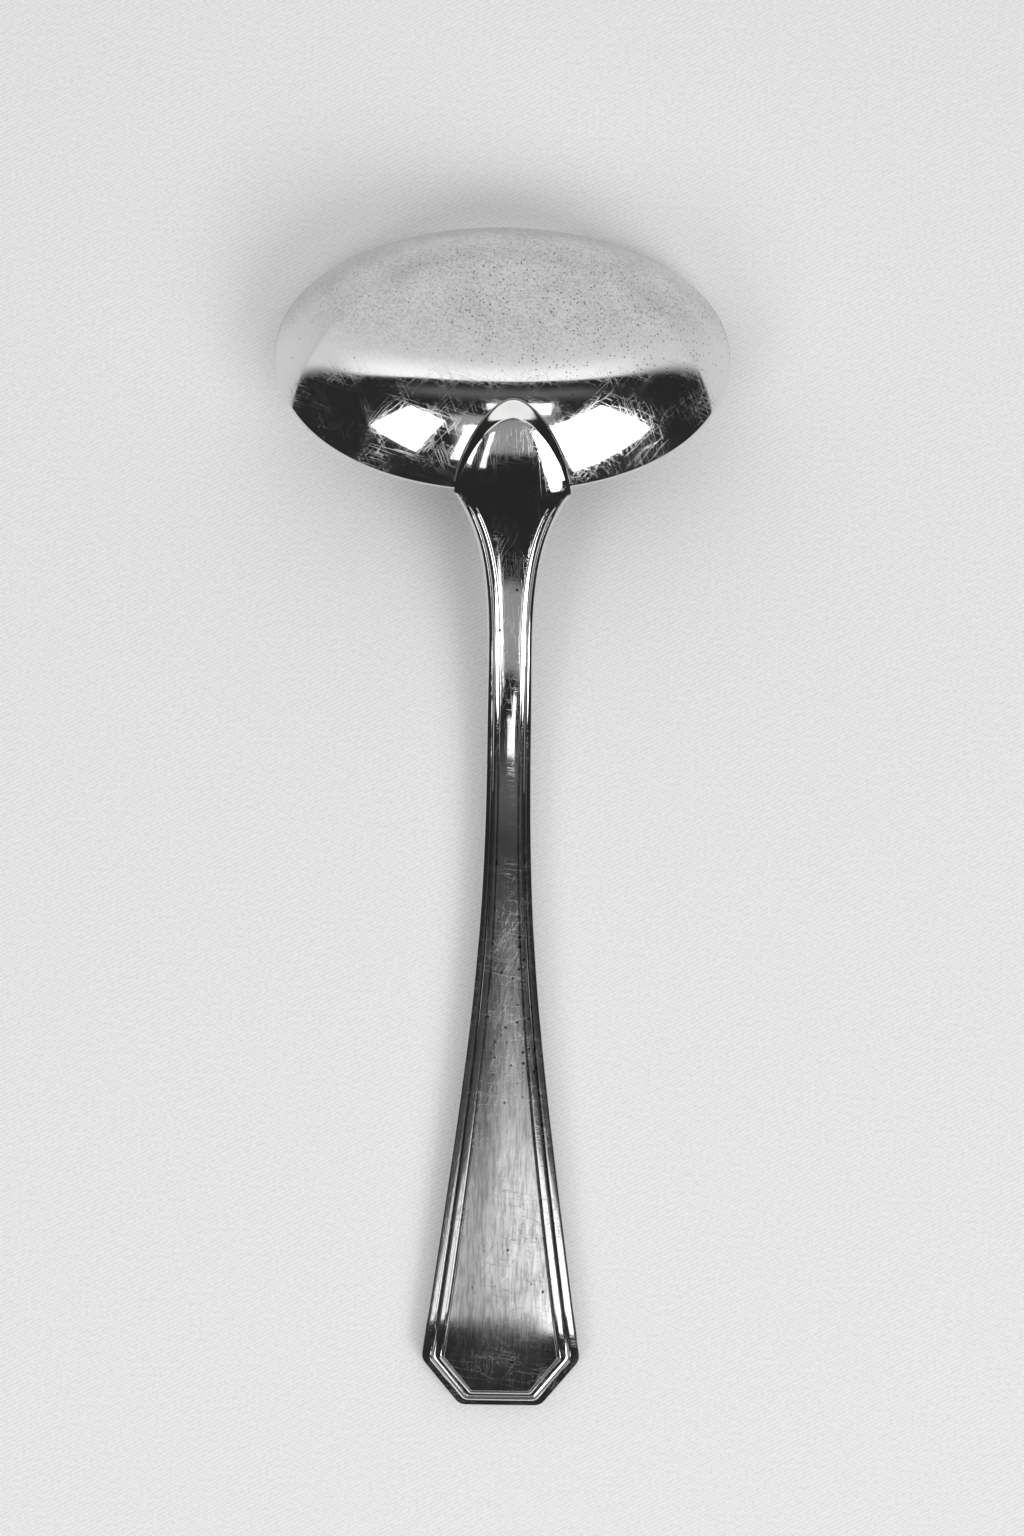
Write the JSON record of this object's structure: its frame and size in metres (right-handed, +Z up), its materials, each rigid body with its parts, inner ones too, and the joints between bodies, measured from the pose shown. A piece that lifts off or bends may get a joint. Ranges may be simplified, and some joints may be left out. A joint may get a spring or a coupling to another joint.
{
  "type": "sauce spoon",
  "caption": "Polished sauce spoon with a wide oval bowl, a pointed drop soldered to the bowl's back, and a slim handle that flares to a canted end with a reeded border.",
  "frame": {"origin": "on the table, under the middle of the spoon's box as it lies face down", "axes": "+Y along the handle towards the bowl, +Z up through the bowl's back, +X to the right with the bowl away from the viewer"},
  "size_m": [0.0688, 0.1802, 0.0274],
  "materials": {
    "silver_bowl": "polished silver plate, finely scratched and pitted on the crown",
    "silver_handle": "polished silver plate, rubbed lengthwise",
    "hard_solder": "silver solder, polished with the joint"
  },
  "bodies": {
    "root": {"bowl": "silver_bowl", "handle": "silver_handle", "solder_joint": "hard_solder"}
  },
  "joints": []
}
